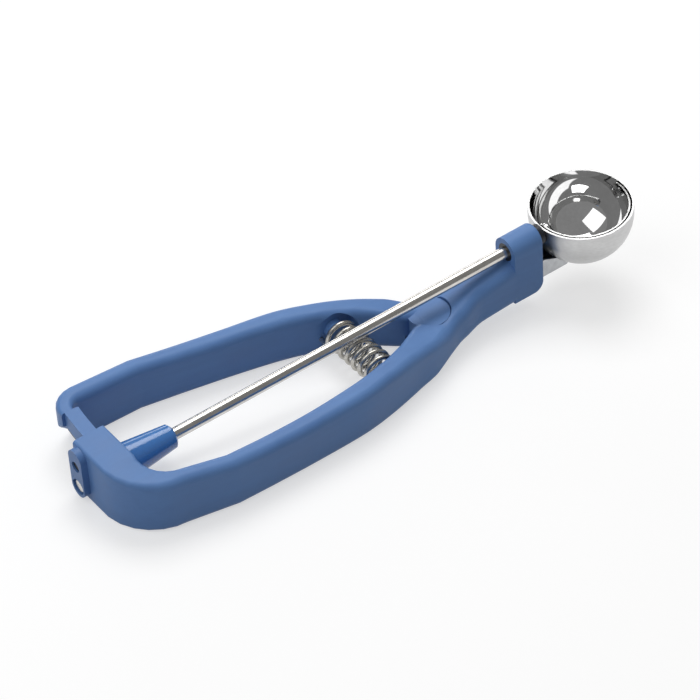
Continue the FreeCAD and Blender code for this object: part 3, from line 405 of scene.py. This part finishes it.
def shade(red, green, blue):
    """An sRGB colour, 0 to 255, as the linear colour that a shader takes."""
    part = np.array([red, green, blue]) / 255
    return (*np.where(part < 0.04045, part / 12.92, ((part + 0.055) / 1.055) ** 2.4), 1.0)


def plastic(name, light, dark, grain=2600.0, smooth=0.42, rough=0.56, depth=1.5e-6, coat=0.0):
    """Moulded plastic; the grain's depth is in metres."""
    return finish(name, MOULDED, {"Light": light, "Dark": dark, "Grain": grain, "Smooth": smooth,
                                  "Rough": rough}, depth, Metallic=0.0, Coat_Weight=coat,
                  Coat_Roughness=0.12, Specular_IOR_Level=0.35)


def metal(name, light, dark, smooth, rough, stretch=(400, 400, 400), depth=4e-7):
    """Worked metal; stretch is the lines' count to the metre along each axis."""
    return finish(name, METAL, {"Light": light, "Dark": dark, "Smooth": smooth, "Rough": rough,
                                "Stretch": stretch}, depth, Metallic=1.0)


def bowl_finish():
    """Mirror polish on the inner wall and a satin skin outside, told apart by the distance from
    the bowl's centre."""
    material = metal("bowl_two_finishes", shade(236, 236, 236), shade(224, 224, 224), 0.03, 0.06,
                     (700, 700, 700), 1e-7)
    tree = material.node_tree
    surface = tree.nodes["Principled BSDF"]
    where = tree.nodes["Texture Coordinate"]
    reach = tree.nodes.new("ShaderNodeVectorMath")
    reach.operation = "DISTANCE"
    reach.inputs[1].default_value = resting((BOWL_REACH, 0, 0))
    tree.links.new(where.outputs["Object"], reach.inputs[0])
    outside = remap(tree, reach.outputs["Value"], (BOWL_RADIUS - BOWL_WALL * 0.7) / 1000,
                    (BOWL_RADIUS - BOWL_WALL * 0.3) / 1000, 0.0, 1.0)
    satin = tree.nodes.new("ShaderNodeGroup")
    satin.node_tree = METAL
    satin.inputs["Stretch"].default_value = (500, 500, 1800)
    satin.inputs["Light"].default_value = shade(203, 203, 203)
    satin.inputs["Dark"].default_value = shade(190, 190, 190)
    satin.inputs["Smooth"].default_value = 0.3
    satin.inputs["Rough"].default_value = 0.38
    tree.links.new(where.outputs["Object"], satin.inputs["Vector"])
    inner = [node for node in tree.nodes if node.type == "GROUP" and node != satin][0]
    colour = blend_colours(tree, outside, inner.outputs["Colour"], satin.outputs["Colour"])
    tree.links.new(colour, surface.inputs["Base Color"])
    roughness = remap(tree, outside, 0.0, 1.0, inner.outputs["Roughness"],
                      satin.outputs["Roughness"])
    tree.links.new(roughness, surface.inputs["Roughness"])
    return material


handle_blue = plastic("handle_blue_plastic", shade(99, 139, 196), shade(91, 130, 187))
plate_blue = plastic("plate_blue_plastic", shade(90, 128, 184), shade(80, 117, 172), smooth=0.35,
                     rough=0.5)
collar_blue = plastic("collar_gloss_plastic", shade(74, 132, 200), shade(66, 121, 188), grain=900.0,
                      smooth=0.14, rough=0.22, depth=4e-7, coat=0.6)
bush_black = plastic("bush_black_plastic", shade(44, 47, 54), shade(34, 36, 42), smooth=0.3,
                     rough=0.45)
bright_steel = metal("bright_steel", shade(214, 214, 214), shade(184, 184, 186), 0.16, 0.3)
rod_steel = metal("drawn_rod_steel", shade(224, 221, 216), shade(198, 195, 190), 0.17, 0.27,
                  (30, 1600, 1600))
# Dark grey steel for the rack, the pinion and the screw head deep in the end plate's upper hole.
dark_steel = metal("dark_grey_steel", shade(92, 92, 94), shade(66, 66, 70), 0.3, 0.48)
blade_steel = metal("blade_spring_steel", shade(232, 232, 230), shade(212, 212, 212), 0.08, 0.16,
                    (900, 900, 900), 2e-7)
bracket_steel = metal("rolled_sheet_steel", shade(196, 198, 200), shade(168, 170, 174), 0.28, 0.42,
                      (300, 900, 300))
brass = metal("insert_brass", shade(200, 164, 92), shade(172, 138, 72), 0.25, 0.4)
spring_steel = metal("spring_wire_steel", shade(206, 203, 196), shade(168, 165, 158), 0.2, 0.34,
                     (700, 700, 700))

# Every hard piece keeps its own solid's surface: node, name, body, slot, material, crease.
HARD_PIECES = [
    ("rack", "toothed_rack", "lever", "dark_steel", dark_steel, 25),
    ("rack_rivets", "rack_rivet_pair", "lever", "steel", bright_steel, 40),
    ("pinion", "pinion_gear", "drive", "dark_steel", dark_steel, 25),
    ("drive_rod", "long_drive_rod", "drive", "polished_steel", rod_steel, 40),
    ("drive_collar", "tapered_collar", "drive", "collar_plastic", collar_blue, 35),
    ("collar_pin", "collar_cross_pin", "drive", "steel", bright_steel, 40),
    ("rear_plate", "rear_end_plate", "handle", "plate_paint", plate_blue, 35),
    # The screw head deep in the end plate's upper hole is coloured dark.
    ("plate_screw", "end_plate_screw", "handle", "dark_steel", dark_steel, 35),
    ("rear_bush", "rear_rod_bush", "handle", "bush_plastic", bush_black, 40),
    ("rod_clip", "rod_end_clip", "drive", "polished_steel", bright_steel, 40),
    ("front_bush", "front_rod_bush", "handle", "bush_plastic", bush_black, 40),
    ("front_ferrule", "dark_front_ferrule", "handle", "bush_plastic", bush_black, 40),
    ("tip_pin", "bowl_tip_pin", "handle", "steel", bright_steel, 40),
    ("scraper_blade", "sweeping_blade", "drive", "blade_steel", blade_steel, 30),
    ("scraper_hub", "blade_hub", "drive", "steel", bright_steel, 40),
    ("bowl_bracket", "folded_bowl_bracket", "handle", "bracket_steel", bracket_steel, 30),
    ("bracket_screw", "bracket_fixing_screw", "handle", "steel", bright_steel, 40),
    ("pivot_screw", "hinge_screw", "lever", "steel", bright_steel, 40),
    ("pivot_washer", "hinge_washer", "handle", "steel", bright_steel, 40),
    ("pivot_insert", "hinge_insert", "lever", "insert_brass", brass, 40),
]
for row in HARD_PIECES:
    smooth_copy(*row)

flowing_handle("main_handle", "main_handle_moulding", "handle", -1, ARM_SPOTS + HEAD_SPOTS,
               handle_blue)
flowing_handle("lever_handle", "lever_handle_moulding", "lever", 1, ARM_SPOTS + LEVER_SPOTS,
               handle_blue)

bowl_normals(smooth_copy("bowl", "polished_bowl", "handle", "bowl_steel", bowl_finish(), 40))

spring = coil_spring(spring_steel)
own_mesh(spring)


# ---------------------------------------------------------------- floor, light and camera

def lit_by_rays(tree):
    """One for rays from the camera, from gloss and through glass, else nought."""
    path = tree.nodes.new("ShaderNodeLightPath")
    seen = maths(tree, "MAXIMUM", path.outputs["Is Camera Ray"], path.outputs["Is Glossy Ray"])
    return maths(tree, "MAXIMUM", seen, path.outputs["Is Transmission Ray"])


def floor_material():
    """Matte pale grey that glows for the camera, gloss and glass alone, so that it reads as white
    and keeps the shadow."""
    material = bpy.data.materials.new("white_floor")
    material.use_nodes = True
    tree = material.node_tree
    surface = tree.nodes["Principled BSDF"]
    surface.inputs["Base Color"].default_value = (0.5, 0.5, 0.5, 1)
    surface.inputs["Roughness"].default_value = 0.9
    surface.inputs["Specular IOR Level"].default_value = 0.0
    surface.inputs["Emission Color"].default_value = (1, 1, 1, 1)
    glow = maths(tree, "MULTIPLY", lit_by_rays(tree), 0.56)
    tree.links.new(glow, surface.inputs["Emission Strength"])
    return material


def floor():
    """A wide flat sheet a hair below the scoop's flat underside, cut into a grid."""
    cells, reach, drop = 4, 4.0, 0.0002
    side = np.linspace(-reach, reach, cells + 1)
    x, y = np.meshgrid(side, side)
    points = np.stack([x, y, 0 * x - drop], -1).reshape(-1, 3)
    corner = (np.arange(cells)[:, None] * (cells + 1) + np.arange(cells)).reshape(-1)
    faces = np.stack([corner, corner + 1, corner + cells + 2, corner + cells + 1], -1)
    mesh = bpy.data.meshes.new("floor")
    mesh.from_pydata(points.tolist(), [], faces.tolist())
    mesh.materials.append(floor_material())
    sheet = bpy.data.objects.new("floor", mesh)
    bpy.context.scene.collection.objects.link(sheet)


def softbox(name, spot, aim, width, height, power):
    """A rectangular lamp at a spot, turned to an aim."""
    lamp = bpy.data.lights.new(name, "AREA")
    lamp.shape = "RECTANGLE"
    lamp.size, lamp.size_y, lamp.energy = width, height, power
    holder = bpy.data.objects.new(name, lamp)
    back = np.array(spot, float) - np.array(aim, float)
    back /= np.linalg.norm(back)
    right = np.cross((0.0, 0.0, 1.0), back)
    right /= np.linalg.norm(right)
    up = np.cross(back, right)
    turn = np.eye(4)
    turn[:3, :3] = np.stack([right, up, back], 1)
    turn[:3, 3] = spot
    holder.matrix_world = Matrix(turn.tolist())
    bpy.context.scene.collection.objects.link(holder)


def daylight():
    """Even dim light from the world, a little dimmer in gloss, and white to the camera."""
    world = bpy.data.worlds.new("studio")
    world.use_nodes = True
    bpy.context.scene.world = world
    tree = world.node_tree
    background = tree.nodes["Background"]
    background.inputs["Color"].default_value = (1, 1, 1, 1)
    path = tree.nodes.new("ShaderNodeLightPath")
    dimmed = remap(tree, path.outputs["Is Glossy Ray"], 0.0, 1.0, 0.27, 0.24)
    strength = maths(tree, "MAXIMUM", path.outputs["Is Camera Ray"], dimmed)
    tree.links.new(strength, background.inputs["Strength"])


def camera():
    """The photograph's own view: right, up and back as columns, and the place, in metres."""
    lens = bpy.data.cameras.new("camera")
    lens.lens, lens.sensor_width = 197.0307, 36.0
    lens.clip_start, lens.clip_end = 0.05, 20.0
    eye = bpy.data.objects.new("camera", lens)
    eye.matrix_world = Matrix((
        (0.801166, 0.351415, -0.484397, -0.662974),
        (-0.596783, 0.529374, -0.603003, -0.820865),
        (0.044523, 0.772185, 0.633836, 0.876297),
        (0.0, 0.0, 0.0, 1.0)))
    bpy.context.scene.collection.objects.link(eye)
    bpy.context.scene.camera = eye


floor()
daylight()
camera()
softbox("overhead", (0.25, 0.5, 1.15), (0.0, 0.0, 0.02), 0.8, 0.8, 9.0)
softbox("gleam", (-0.78, 0.06, 0.95), (0.1, 0.0, 0.03), 0.95, 0.95, 3.6)
softbox("far_side", (0.5, 1.1, 0.3), (0.05, 0.0, 0.03), 0.5, 0.25, 1.2)

bpy.context.scene.view_settings.view_transform = "Standard"
